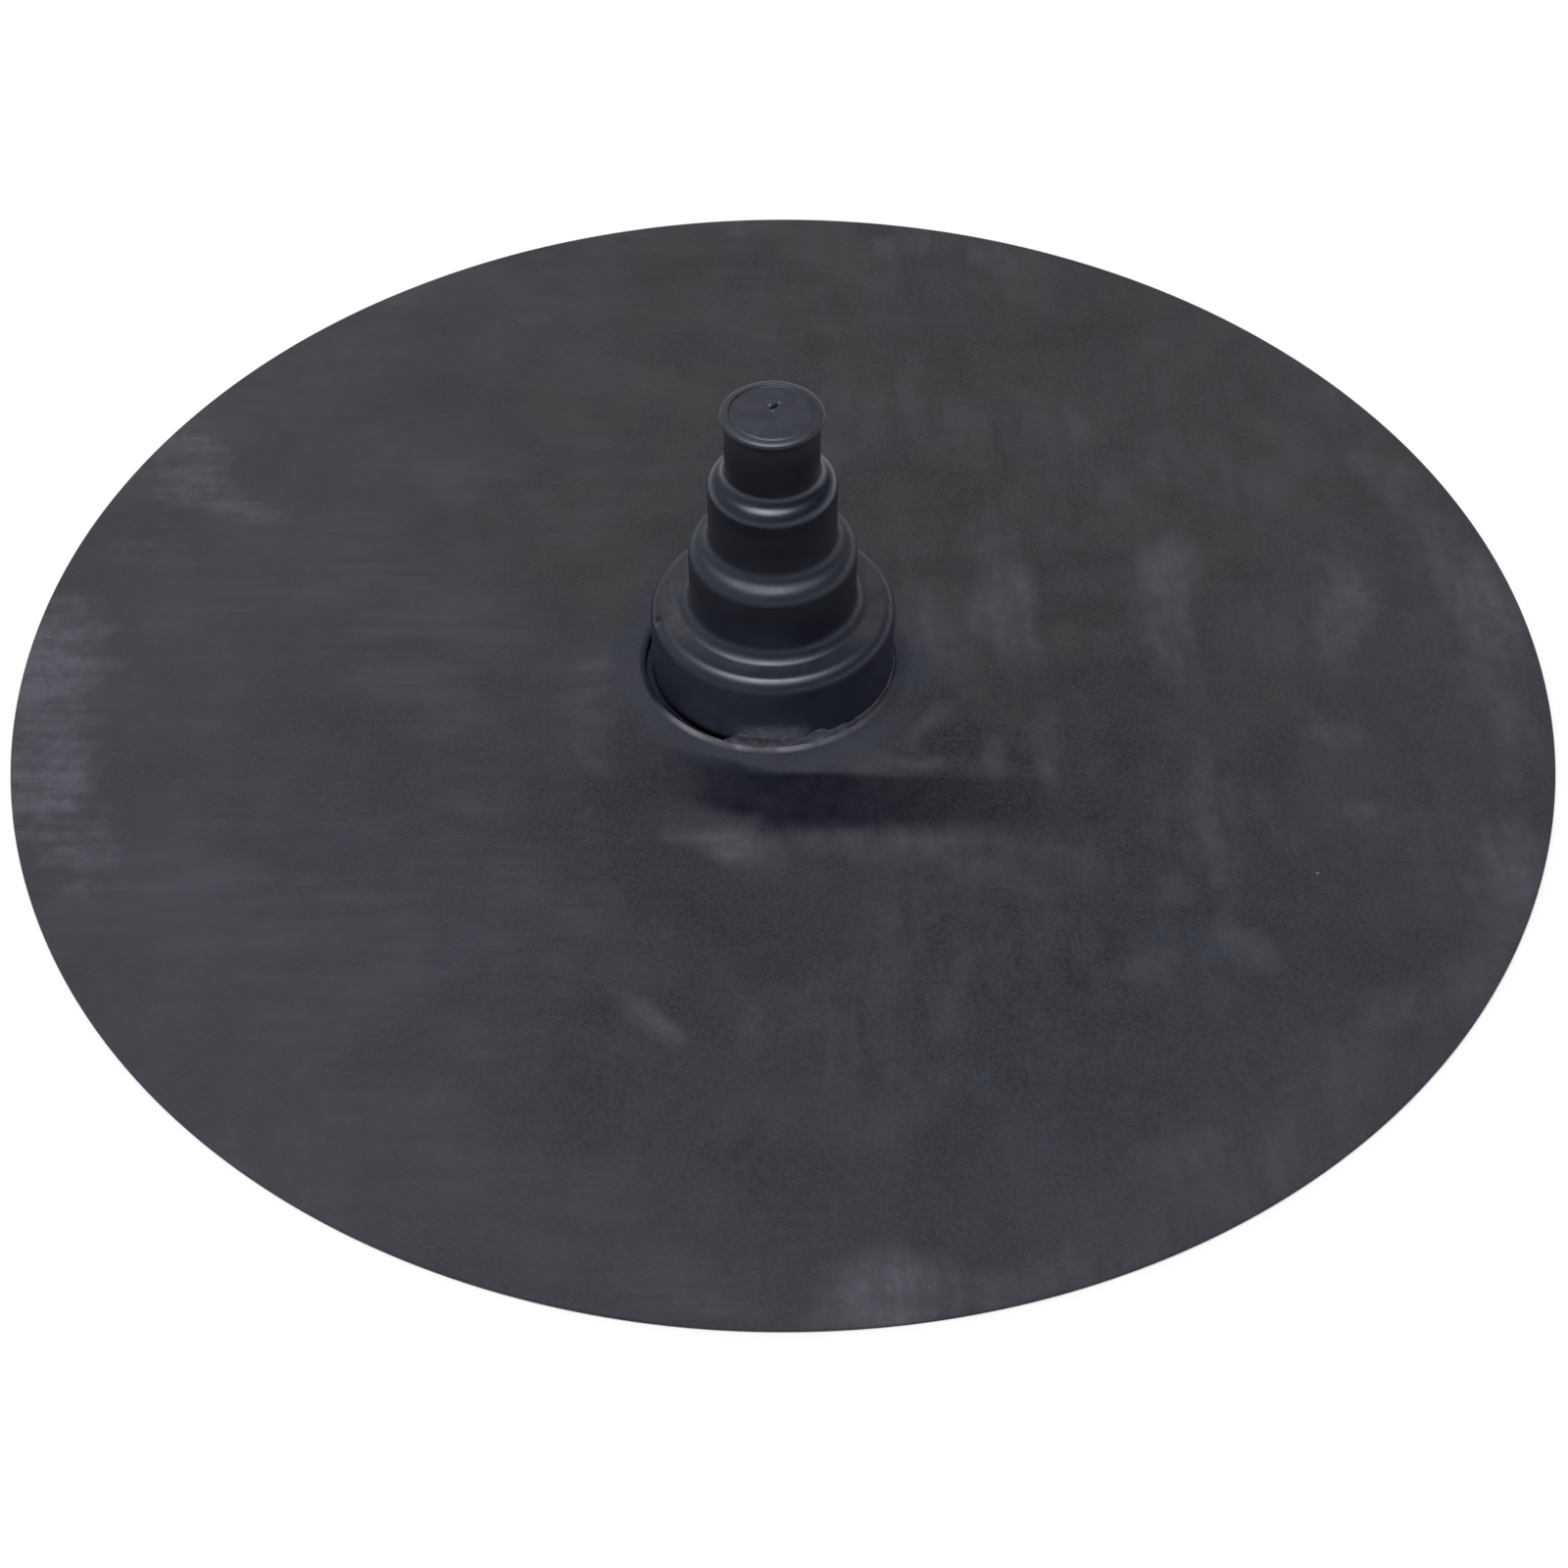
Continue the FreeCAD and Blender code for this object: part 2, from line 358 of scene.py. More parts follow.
def rim_profile():
    """From the last tier's wall round the cap's rim and over its crest, down to the face."""
    bottom = CAP_TOP - RIM_DEPTH
    corner = EDGE_ROUNDING
    profile = arc((LAST_RADIUS + corner, bottom - corner), corner, 180, 90, 3)
    lower = 0.0006
    profile += [(RIM_RADIUS - lower, bottom)]
    profile += arc((RIM_RADIUS - lower, bottom + lower), lower, 270, 360, 5)
    profile += arc((RIM_RADIUS - 0.0009, CAP_TOP - 0.0012), 0.0009, 0, 66, 6)
    crest = 0.00045
    profile += arc((CREST_RADIUS, CAP_TOP - crest), crest, 80, 180, 7)
    profile += [(FACE_RADIUS + 0.00012, CAP_FACE - FACE_GROOVE)]
    profile += [(FACE_RADIUS - 0.0002, CAP_FACE - FACE_GROOVE)]
    return profile + [(FACE_RADIUS - 0.0006, CAP_FACE)]


def face_profile():
    """The cap's face from its edge to near its centre, in finer steps round the gate mark."""
    profile = []
    reach = FACE_RADIUS - 0.0012
    while reach > GATE_REACH:
        profile.append((reach, CAP_FACE))
        reach -= 0.0011
    while reach > 0.0003:
        profile.append((reach, CAP_FACE))
        reach -= 0.00020
    return profile


def outside_profile():
    """From the flange's underside up to the cap's centre."""
    profile = flange_profile()
    side_of_tiers(profile, 0)
    wall(profile, LAST_RADIUS, CAP_TOP - RIM_DEPTH - EDGE_ROUNDING, 8)
    return profile + rim_profile() + face_profile()


def inside_profile():
    """From the mouth up to the underside of the cap, without the mouth's own point."""
    profile = [(FOOT_RADIUS - WALL, 0.0)]
    side_of_tiers(profile, WALL)
    top = CAP_TOP - CAP_THICK
    corner = 0.0004
    wall(profile, LAST_RADIUS - WALL, top - corner, 6)
    profile += arc((LAST_RADIUS - WALL - corner, top - corner), corner, 0, 90, 4)
    return profile[1:]


def gate(x, y):
    """The torn stub of the mould's gate: a nub, a slanting hole beside it, a lip and a shallow dent."""
    x -= GATE_X
    y -= GATE_Y
    along = x * 0.74 + y * 0.67
    across = y * 0.74 - x * 0.67
    hole = -0.0012 * math.exp(-(along / 0.0016) ** 4 - (across / 0.00055) ** 4)
    rise = hump(x + 0.0015, y - 0.0009, 0.00060, 0.00036) + hump(x + 0.0006, y + 0.0018, 0.00060, 0.00028)
    return rise + hole + hump(x - 0.0026, y + 0.0022, 0.0007, -0.00015)


def nick(angle, height):
    """A small dent in the lowest tier's left edge."""
    turn = (angle - NICK_ANGLE) / NICK_WIDTH
    rise = (height - NICK_HEIGHT) / NICK_RISE
    return -NICK_DEPTH * math.exp(-turn * turn - rise * rise)


def boot_ring(radius, height, side):
    """One ring of the moulding's points, a little out of round; side is 0 outside and 1 inside."""
    on_face = side == 0 and height > CAP_TOP - 0.001 and radius < FACE_RADIUS - 0.001
    ring = []
    for step in range(LATHE_STEPS):
        angle = 2 * math.pi * step / LATHE_STEPS
        spot = Vector((math.cos(angle) * 1.4, math.sin(angle) * 1.4, height * 28 + side))
        reach = radius + BOOT_UNEVEN * noise.noise(spot) * smooth(radius, 0.004, 0.014)
        if side == 0:
            reach += nick(angle, height) * smooth(radius, 0.030, 0.038)
        x = reach * math.cos(angle)
        y = reach * math.sin(angle)
        z = height
        if on_face:
            z += gate(x, y) + FACE_UNEVEN * noise.noise(Vector((x * 160, y * 160, 2)))
        ring.append((x, y, z))
    return ring


def boot():
    """The hollow moulding, turned from its outside and inside outlines."""
    outer = outside_profile()
    inner = inside_profile()
    points = []
    for side, profile in ((0, outer), (1, inner)):
        for radius, height in profile:
            points += boot_ring(radius, height, side)
    last_outer = len(outer) - 1
    last_inner = len(outer) + len(inner) - 1
    pairs = [(row, row + 1) for row in range(last_inner) if row != last_outer]
    pairs.append((0, last_outer + 1))
    faces = []
    for row, next_row in pairs:
        faces += join_rings(row * LATHE_STEPS, next_row * LATHE_STEPS, LATHE_STEPS)
    for row, height in ((last_outer, CAP_FACE + gate(0, 0)), (last_inner, CAP_TOP - CAP_THICK)):
        points.append((0, 0, height))
        faces += close_ring(row * LATHE_STEPS, len(points) - 1, LATHE_STEPS)
    return mesh_object("boot", points, faces)


# ---------------------------------------------------------------- sealant

def smeared_front(angle):
    """1 in front, where the sealant is smeared up the wall, and less beside it."""
    degrees = math.degrees(angle)
    return math.exp(-((degrees - 263) / 15) ** 2) + 0.7 * math.exp(-((degrees - 292) / 8) ** 2)


def bead_outline(angle, taper):
    """The bead's section at an angle, as radii and heights; taper is 0 at its ends and 1 between them."""
    wall_radius = FOOT_RADIUS + 0.00003
    bottom = FLANGE_THICK + FLANGE_FILLET
    across = math.sqrt(HOLE_RADIUS ** 2 - (HOLE_X * math.sin(angle)) ** 2)
    outer = HOLE_X * math.cos(angle) + across - 0.0001
    rough = noise.noise(Vector((math.cos(angle) * 9, math.sin(angle) * 9, 4)))
    fine = noise.noise(Vector((math.cos(angle) * 40, math.sin(angle) * 40, 1)))
    front = smeared_front(angle)
    height = BEAD_HEIGHT * (0.72 + 0.30 * rough + 0.12 * fine)
    film = FILM_RISE * front * (0.85 + 0.35 * fine + 0.3 * rough) * taper
    high_outer = bottom + (height - BEAD_SLOPE) * taper
    high_wall = bottom + height * taper
    outline = [(wall_radius, bottom), (outer, bottom), (outer, high_outer)]
    for part in range(1, 5):
        mix = part / 5
        sag = 0.0004 * math.sin(math.pi * mix) * taper
        radius = outer + (wall_radius + 0.0003 - outer) * mix
        outline.append((radius, high_outer + (high_wall - high_outer) * mix - sag))
    outline.append((wall_radius + 0.00028, high_wall))
    outline.append((wall_radius + 0.00016 + FILM_THICK * front, high_wall + 0.0003 + 0.5 * film))
    outline.append((wall_radius + FILM_THICK, high_wall + 0.0005 + film))
    outline.append((wall_radius, high_wall + 0.0005 + film))
    return outline


def seam_bead():
    """The bead between the hole's edge and the lowest tier, uneven and smeared up the wall in front."""
    sweep = 2 * math.pi - (VOID_END - VOID_START)
    points = []
    for step in range(BEAD_STEPS + 1):
        share = step / BEAD_STEPS
        angle = VOID_END + sweep * share
        taper = min(smooth(share, 0, 0.03), smooth(share, 1, 0.97))
        outline = bead_outline(angle, taper)
        points += [(radius * math.cos(angle), radius * math.sin(angle), z) for radius, z in outline]
    width = len(outline)
    faces = [tuple(range(width)), tuple(range(BEAD_STEPS * width, (BEAD_STEPS + 1) * width))]
    for step in range(BEAD_STEPS):
        faces += join_rings(step * width, (step + 1) * width, width)
    return mesh_object("seam_bead", points, faces)


# ---------------------------------------------------------------- materials

class Paint:
    """A node tree with short helpers; every helper returns an output socket."""

    def __init__(self, name):
        self.material = bpy.data.materials.new(name)
        self.material.use_nodes = True
        self.tree = self.material.node_tree
        self.shader = self.tree.nodes["Principled BSDF"]
        self.place = self.tree.nodes.new("ShaderNodeTexCoord").outputs["Object"]
        self.x, self.y, self.z = self.split(self.place)

    def put(self, socket, value):
        """Links a socket, or sets a constant."""
        if isinstance(value, bpy.types.NodeSocket):
            self.tree.links.new(value, socket)
        else:
            socket.default_value = value

    def split(self, source):
        """The three coordinates of a vector, or the three channels of a colour."""
        node = self.tree.nodes.new("ShaderNodeSeparateXYZ")
        self.put(node.inputs[0], source)
        return node.outputs

    def mapped(self, scale=(1, 1, 1), turn=0.0):
        """The object's coordinates turned about Z, then scaled."""
        node = self.tree.nodes.new("ShaderNodeMapping")
        node.inputs["Rotation"].default_value = (0, 0, turn)
        node.inputs["Scale"].default_value = scale
        self.put(node.inputs["Vector"], self.place)
        return node.outputs["Vector"]

    def noise_node(self, scale, detail, rough, source, seed):
        """A noise node; seed shifts its pattern to another place."""
        node = self.tree.nodes.new("ShaderNodeTexNoise")
        node.noise_dimensions = "4D"
        node.inputs["W"].default_value = seed
        node.inputs["Scale"].default_value = scale
        node.inputs["Detail"].default_value = detail
        node.inputs["Roughness"].default_value = rough
        self.put(node.inputs["Vector"], source or self.place)
        return node

    def noise(self, scale, detail=3.0, rough=0.55, source=None, seed=0.0):
        """Cloudy noise from 0 to 1."""
        return self.noise_node(scale, detail, rough, source, seed).outputs["Fac"]

    def clouds(self, scale, detail, rough, seed, source=None):
        """Cloudy noise with three unlike channels."""
        return self.noise_node(scale, detail, rough, source, seed).outputs["Color"]

    def ranged(self, value, start, end, low_end=0.0, high_end=1.0, kind="SMOOTHSTEP"):
        """Maps start..end to low_end..high_end and holds it outside."""
        node = self.tree.nodes.new("ShaderNodeMapRange")
        node.interpolation_type = kind
        self.put(node.inputs["Value"], value)
        node.inputs["From Min"].default_value = start
        node.inputs["From Max"].default_value = end
        node.inputs["To Min"].default_value = low_end
        node.inputs["To Max"].default_value = high_end
        return node.outputs["Result"]

    def window(self, value, start, end, soft):
        """1 between start and end, 0 outside, with soft borders."""
        rise = self.ranged(value, start - soft, start + soft)
        fall = self.ranged(value, end - soft, end + soft, 1.0, 0.0)
        return self.math("MULTIPLY", rise, fall)

    def math(self, how, first, second=0.0, third=0.0):
        """A math node."""
        node = self.tree.nodes.new("ShaderNodeMath")
        node.operation = how
        self.put(node.inputs[0], first)
        self.put(node.inputs[1], second)
        self.put(node.inputs[2], third)
        return node.outputs[0]

    def product(self, first, *others):
        """All the values multiplied."""
        for value in others:
            first = self.math("MULTIPLY", first, value)
        return first

    def vector(self, how, first, second, third=(0, 0, 0)):
        """A vector math node."""
        node = self.tree.nodes.new("ShaderNodeVectorMath")
        node.operation = how
        self.put(node.inputs[0], first)
        self.put(node.inputs[1], second)
        self.put(node.inputs[2], third)
        return node.outputs

    def distance(self, source, place):
        """How far the coordinates are from a place."""
        return self.vector("DISTANCE", source, place)["Value"]

    def blend(self, share, first, second):
        """A number between first and second."""
        node = self.tree.nodes.new("ShaderNodeMix")
        self.put(node.inputs[0], share)
        self.put(node.inputs[2], first)
        self.put(node.inputs[3], second)
        return node.outputs[0]

    def mix(self, share, first, second):
        """A colour between first and second."""
        node = self.tree.nodes.new("ShaderNodeMix")
        node.data_type = "RGBA"
        self.put(node.inputs["Factor"], share)
        self.put(node.inputs[6], first)
        self.put(node.inputs[7], second)
        return node.outputs[2]

    def bump(self, height, distance, strength, below=None):
        """A bump of the given real depth, on top of another one."""
        node = self.tree.nodes.new("ShaderNodeBump")
        node.inputs["Distance"].default_value = distance
        node.inputs["Strength"].default_value = strength
        self.put(node.inputs["Height"], height)
        if below:
            self.put(node.inputs["Normal"], below)
        return node.outputs["Normal"]

    def finish(self, colour, roughness, normal, ior=1.5, specular=0.5):
        """Connects the shader."""
        self.put(self.shader.inputs["Base Color"], colour)
        self.put(self.shader.inputs["Roughness"], roughness)
        self.put(self.shader.inputs["Normal"], normal)
        self.shader.inputs["IOR"].default_value = ior
        self.shader.inputs["Specular IOR Level"].default_value = specular
        return self.material


def grey(level, tint=0.0):
    """A colour of linear brightness level; tint above 0 is bluish, below 0 brownish."""
    return (level * (1 - tint), level * (1 - 0.8 * abs(tint)), level * (1 + tint), 1.0)


def ragged_place(paint, coarse, fine):
    """Flat coordinates with Z taken out, pushed about by noise."""
    flat = paint.mapped(scale=(1, 1, 0))
    total = flat
    for scale, amount, seed in ((22, coarse, 3.0), (95, fine, 5.0)):
        cloud = paint.clouds(scale, 4.0, 0.5, seed, flat)
        total = paint.vector("MULTIPLY_ADD", cloud, (amount, amount, 0), total)["Vector"]
        total = paint.vector("SUBTRACT", total, (amount / 2, amount / 2, 0))["Vector"]
    return total


def sheet_ground(paint, ragged, y):
    """The sheet's own colour: charcoal, darker and bluer in front, with brown, violet and teal clouds."""
    first, second, third = paint.split(paint.clouds(26, 4, 0.62, seed=11))
    front = paint.ranged(y, 0.10, -0.12)
    dark = paint.mix(front, grey(0.0215, 0.02), (0.0098, 0.0102, 0.0142, 1))
    light = paint.mix(front, grey(0.034, 0.00), (0.0205, 0.0212, 0.0282, 1))
    colour = paint.mix(paint.ranged(first, 0.36, 0.66), dark, light)
    colour = paint.mix(paint.ranged(second, 0.5, 0.66, 0.0, 0.6), colour, grey(0.027, -0.12))
    colour = paint.mix(paint.ranged(third, 0.5, 0.66, 0.0, 0.5), colour, (0.026, 0.022, 0.034, 1))
    teal = paint.product(paint.ranged(paint.noise(21, 3, 0.6, seed=41), 0.56, 0.70, 0.0, 0.65), front)
    colour = paint.mix(teal, colour, (0.022, 0.033, 0.042, 1))
    outer = paint.ranged(paint.distance(ragged, (0, 0, 0)), 0.13, 0.24)
    border = paint.product(outer, paint.ranged(y, 0.12, 0.0), 0.55)
    return paint.mix(border, colour, (0.030, 0.0265, 0.037, 1))


def talc_cover(paint, x, y, broken):
    """How much talc lies on the sheet, as smears and as haze, streaked sideways on the left."""
    layer = paint.tree.nodes.new("ShaderNodeAttribute")
    layer.attribute_name = "talc"
    wipes_up = paint.noise(26, 3, 0.6, paint.mapped((5.0, 0.8, 1), 0.06), seed=1)
    wipes_side = paint.noise(26, 3, 0.6, paint.mapped((0.8, 5.5, 1), 0.09), seed=2)
    wipes = paint.blend(paint.ranged(x, -0.06, 0.05), wipes_side, wipes_up)
    smears = paint.product(
        layer.outputs["Fac"],
        paint.ranged(wipes, 0.28, 0.72, 0.62, 1.3),
        paint.ranged(broken, 0.3, 0.7, 0.72, 1.25))
    smears = paint.ranged(smears, 0.05, 1.05, kind="LINEAR")
    smudge = paint.ranged(paint.noise(13, 5, 0.62, seed=8), 0.40, 0.66)
    haze = paint.product(smudge, paint.ranged(wipes, 0.3, 0.72, 0.06, 0.30))
    sides = ((x, 0.06, -0.20, 0.24), (y, 0.06, 0.24, 0.05), (y, -0.12, -0.20, 0.05), (x, 0.06, 0.20, 0.06))
    for place, start, end, amount in sides:
        haze = paint.math("MULTIPLY_ADD", paint.ranged(place, start, end), amount, haze)
    return paint.math("MAXIMUM", smears, haze)


def painted_fold_shade(paint, x, y, broken):
    """Painted shade of the fold in front of the boot: a dark band along the fold, where the talc is also
    wiped off.
    """
    leftward = paint.math("MAXIMUM", paint.math("MULTIPLY", x, -1.0), 0.0)
    straight = paint.math("MULTIPLY", paint.split(paint.mapped(turn=0.02))["Y"], 0.7)
    along = paint.math("MULTIPLY_ADD", y, 0.3, straight)
    along = paint.math("MULTIPLY_ADD", leftward, -0.32, along)
    return paint.product(
        paint.window(x, -0.036, 0.086, 0.020),
        paint.ranged(along, -0.0500, -0.0535),
        paint.ranged(along, -0.0785, -0.0680),
        paint.ranged(x, 0.010, 0.075, 0.97, 0.30),
        paint.ranged(broken, 0.3, 0.7, 1.0, 0.80),
        paint.ranged(x, -0.045, -0.005, 0.45, 1.0))


def light_specks(paint):
    """A few tiny round specks."""
    cells = paint.tree.nodes.new("ShaderNodeTexVoronoi")
    cells.inputs["Scale"].default_value = 42
    paint.put(cells.inputs["Vector"], paint.place)
    chosen = paint.ranged(paint.split(cells.outputs["Color"])["X"], 0.90, 0.91)
    return paint.product(paint.ranged(cells.outputs["Distance"], 0.030, 0.014), chosen)


def hole_edge(paint, colour, x, y):
    """Colours the hole's edge: scuffed in front with a painted highlight along it, in shadow on the left,
    with a bluish ring round it.
    """
    reach = paint.distance(paint.mapped(scale=(1, 1, 0)), (HOLE_X, 0, 0))
    # Painted highlight with scuffs: a light band along the front of the turned-up edge.
    scuffs_and_highlight = paint.product(
        paint.ranged(reach, HOLE_RADIUS + 0.0028, HOLE_RADIUS + 0.0012),
        paint.ranged(paint.noise(120, 3, seed=61), 0.35, 0.6, 0.35, 0.95),
        paint.ranged(y, -0.012, -0.036, 0.10, 1.0),
        paint.ranged(x, 0.026, 0.008, 0.35, 1.0))
    colour = paint.mix(scuffs_and_highlight, colour, grey(0.24, 0.06))
    shaded = paint.product(
        paint.ranged(reach, HOLE_RADIUS + 0.0026, HOLE_RADIUS + 0.0012),
        paint.ranged(x, -0.006, -0.028),
        paint.ranged(y, -0.032, -0.020))
    colour = paint.mix(shaded, colour, grey(0.006, 0.15))
    ring = paint.product(
        paint.window(reach, HOLE_RADIUS - 0.0007, HOLE_RADIUS + 0.0108, 0.0025),
        paint.ranged(paint.noise(60, 4, seed=71), 0.3, 0.65, 0.10, 0.45))
    return paint.mix(ring, colour, (0.034, 0.041, 0.060, 1))


def sheet_rubber():
    """Calendered rubber sheet: charcoal with cloudy tints, talc smears and a band of painted shade along
    the fold in front.
    """
    paint = Paint("membrane rubber")
    ragged = ragged_place(paint, 0.010, 0.004)
    x, y, _ = paint.split(ragged)
    broken = paint.noise(160, 3, 0.65, seed=4)
    talc = talc_cover(paint, x, y, broken)
    colour = paint.mix(talc, sheet_ground(paint, ragged, y), (0.096, 0.093, 0.112, 1))
    grain = paint.ranged(paint.noise(900, 2, 0.7, seed=51), 0.28, 0.72, 0.0, 0.50)
    colour = paint.mix(grain, colour, grey(0.058, 0.06))
    # Painted shade: a nearly black band along the fold in front of the boot.
    colour = paint.mix(painted_fold_shade(paint, x, y, broken), colour, (0.0014, 0.0024, 0.0080, 1))
    colour = paint.mix(light_specks(paint), colour, grey(0.16))
    colour = hole_edge(paint, colour, x, y)
    rough = paint.ranged(paint.noise(35, 4, seed=81), 0.3, 0.7, 0.60, 0.72)
    rough = paint.math("MULTIPLY_ADD", talc, 0.18, rough)
    weave = paint.noise(210, 2, 0.5, seed=95)
    weave = paint.math("MULTIPLY_ADD", paint.noise(1500, 1, 0.6, seed=91), 0.4, weave)
    return paint.finish(colour, rough, paint.bump(weave, 0.00022, 0.32), 1.5, 0.08)


def wall_colour(paint, steep):
    """The bare rubber; its steep parts are lighter towards the bottom."""
    cloud = paint.ranged(paint.noise(70, 4, 0.6, seed=1), 0.35, 0.68)
    colour = paint.mix(cloud, grey(0.0058, 0.42), grey(0.0105, 0.34))
    lighter = paint.mix(cloud, grey(0.0250, 0.36), grey(0.0430, 0.28))
    low_part = paint.ranged(paint.z, MIDDLE_LEDGE - 0.007, LOW_LEDGE - 0.017, 0.0, 0.85)
    return paint.mix(paint.product(low_part, steep), colour, lighter)


def front_residue(paint):
    """Where pale residue is left at the front of the lowest wall, just above the bead."""
    wet = paint.math("MULTIPLY_ADD", paint.noise(160, 4, 0.65, seed=45), 0.006, paint.z)
    return paint.product(
        paint.window(paint.x, -0.0095, 0.0095, 0.005),
        paint.ranged(wet, 0.0165, 0.0105),
        paint.ranged(paint.y, -0.030, -0.036),
        paint.ranged(paint.noise(330, 4, 0.7, seed=47), 0.25, 0.7, 0.35, 1.0))


def front_film(paint, steep):
    """Where a thin pale film lies on the walls, in front and to the left."""
    return paint.product(
        paint.window(paint.x, -0.028, 0.006, 0.010),
        paint.ranged(paint.y, -0.018, -0.030),
        steep,
        paint.ranged(paint.z, MIDDLE_LEDGE + 0.005, LOW_LEDGE - 0.004),
        paint.ranged(paint.noise(90, 4, 0.65, seed=49), 0.3, 0.7, 0.04, 0.17))


def dusty(paint, colour, level):
    """Adds dust on the cap and on the back of the lowest ledge, with light flecks to the left."""
    ledge = paint.product(
        paint.window(paint.z, LOW_LEDGE - 0.0015, LOW_LEDGE + 0.0015, 0.0006),
        paint.ranged(paint.y, -0.027, -0.010, 0.05, 1.0))
    top = paint.ranged(paint.z, CAP_TOP - 0.003, CAP_TOP - 0.001, 0.06, 0.22)
    settled = paint.product(level, paint.math("MAXIMUM", ledge, top))
    dust = paint.product(settled, paint.ranged(paint.noise(150, 4, 0.62, seed=5), 0.30, 0.70, 0.45, 0.95))
    colour = paint.mix(dust, colour, grey(0.034, -0.08))
    lid = paint.product(level, paint.ranged(paint.z, CAP_TOP - 0.003, CAP_TOP - 0.001, 0.0, 0.6))
    colour = paint.mix(lid, colour, grey(0.034, 0.10))
    flecks = paint.product(
        paint.ranged(paint.noise(800, 3, 0.7, seed=7), 0.50, 0.72),
        settled,
        paint.ranged(paint.x, 0.005, -0.030),
        0.6)
    return paint.mix(flecks, colour, grey(0.100, -0.03))


def boot_roughness(paint, level, shaded_dent):
    """Satin: duller round the middle ledge, shinier round the high one, on the low one and on the cap."""
    rough = paint.ranged(paint.noise(110, 4, 0.6, seed=25), 0.3, 0.7, 0.38, 0.46)
    worn = paint.window(paint.z, MIDDLE_LEDGE - 0.011, MIDDLE_LEDGE + 0.007, 0.0020)
    rough = paint.math("MULTIPLY_ADD", worn, 0.06, rough)
    low_part = paint.ranged(paint.z, LOW_LEDGE + 0.011, LOW_LEDGE + 0.006)
    lid = paint.ranged(paint.z, CAP_TOP - 0.0031, CAP_TOP - 0.0016)
    flat_parts = paint.product(level, paint.math("ADD", low_part, lid))
    upper = paint.window(paint.z, HIGH_LEDGE - 0.0075, HIGH_LEDGE + 0.0165, 0.0030)
    rough = paint.math("MULTIPLY_ADD", paint.math("MAXIMUM", upper, flat_parts), -0.10, rough)
    rough = paint.blend(shaded_dent, rough, 0.12)
    shaded_under_sheet = paint.ranged(paint.z, LIP_TOP + 0.0006, LIP_TOP - 0.0009)
    return paint.blend(shaded_under_sheet, rough, 0.20)


def moulded_rubber():
    """Satin moulded rubber, nearly black, with dust on what faces up."""
    paint = Paint("boot rubber")
    facing = paint.split(paint.tree.nodes.new("ShaderNodeTexCoord").outputs["Normal"])
    steep = paint.ranged(facing["Z"], 0.5, 0.1)
    level = paint.ranged(facing["Z"], 0.90, 0.995)
    dent = (NICK_RADIUS * math.cos(NICK_ANGLE), NICK_RADIUS * math.sin(NICK_ANGLE), NICK_HEIGHT)
    shaded_dent = paint.ranged(paint.distance(paint.place, dent), 2 * NICK_RISE, NICK_RISE)
    colour = wall_colour(paint, steep)
    colour = paint.mix(front_residue(paint), colour, grey(0.26, 0.12))
    colour = paint.mix(front_film(paint, steep), colour, grey(0.20, 0.22))
    colour = dusty(paint, colour, level)
    streaks = paint.noise(60, 4, 0.6, paint.mapped((1, 1, 0.12)), seed=9)
    colour = paint.mix(paint.ranged(streaks, 0.52, 0.75, 0.0, 0.25), colour, grey(0.022, 0.22))
    grain = paint.noise(1300, 2, 0.6, seed=15)
    colour = paint.mix(paint.ranged(grain, 0.3, 0.75, 0.0, 0.26), colour, grey(0.036, 0.12))
    # Painted shade: the nick's dent is coloured nearly black.
    colour = paint.mix(shaded_dent, colour, grey(0.0008))
    # Painted shade: the rubber below the sheet's edge, seen in the gap, is coloured nearly black.
    shaded_under_sheet = paint.ranged(paint.z, LIP_TOP + 0.0016, LIP_TOP - 0.0009)
    colour = paint.mix(shaded_under_sheet, colour, grey(0.0012))
    # Painted highlight: a lighter, broken ring along the crest of the cap's rim.
    crest = paint.product(
        paint.window(paint.z, CAP_TOP - 0.0006, CAP_TOP + 0.001, 0.0002),
        paint.ranged(paint.noise(240, 3, seed=19), 0.3, 0.7, 0.05, 0.4))
    colour = paint.mix(crest, colour, grey(0.055, 0.04))
    pores = paint.bump(paint.noise(2200, 2, 0.6, seed=29), 0.00005, 0.30)
    waves = paint.bump(paint.noise(180, 3, 0.5, seed=33), 0.00012, 0.25, pores)
    paint.shader.inputs["Specular Tint"].default_value = (0.80, 0.88, 1.0, 1)
    return paint.finish(colour, boot_roughness(paint, level, shaded_dent), waves, 1.5, 0.70)


def seam_sealant():
    """Tooled lap sealant, matte, greyer than the rubber."""
    paint = Paint("seam sealant")
    cloud = paint.noise(140, 4, 0.62, seed=1)
    colour = paint.mix(paint.ranged(cloud, 0.35, 0.65), grey(0.045, 0.14), grey(0.115, 0.10))
    fine = paint.noise(900, 3, 0.6, seed=5)
    colour = paint.mix(paint.ranged(fine, 0.45, 0.75, 0.0, 0.4), colour, grey(0.150, 0.06))
    smeared_part = paint.ranged(paint.math("MULTIPLY_ADD", cloud, 0.004, paint.z), 0.0070, 0.0110)
    colour = paint.mix(smeared_part, colour, grey(0.10, 0.12))
    rough = paint.ranged(paint.noise(200, 3, seed=9), 0.3, 0.7, 0.55, 0.75)
    drag = paint.bump(paint.noise(420, 4, 0.6, seed=13), 0.00025, 0.5)
    return paint.finish(colour, rough, drag, 1.48, 0.4)


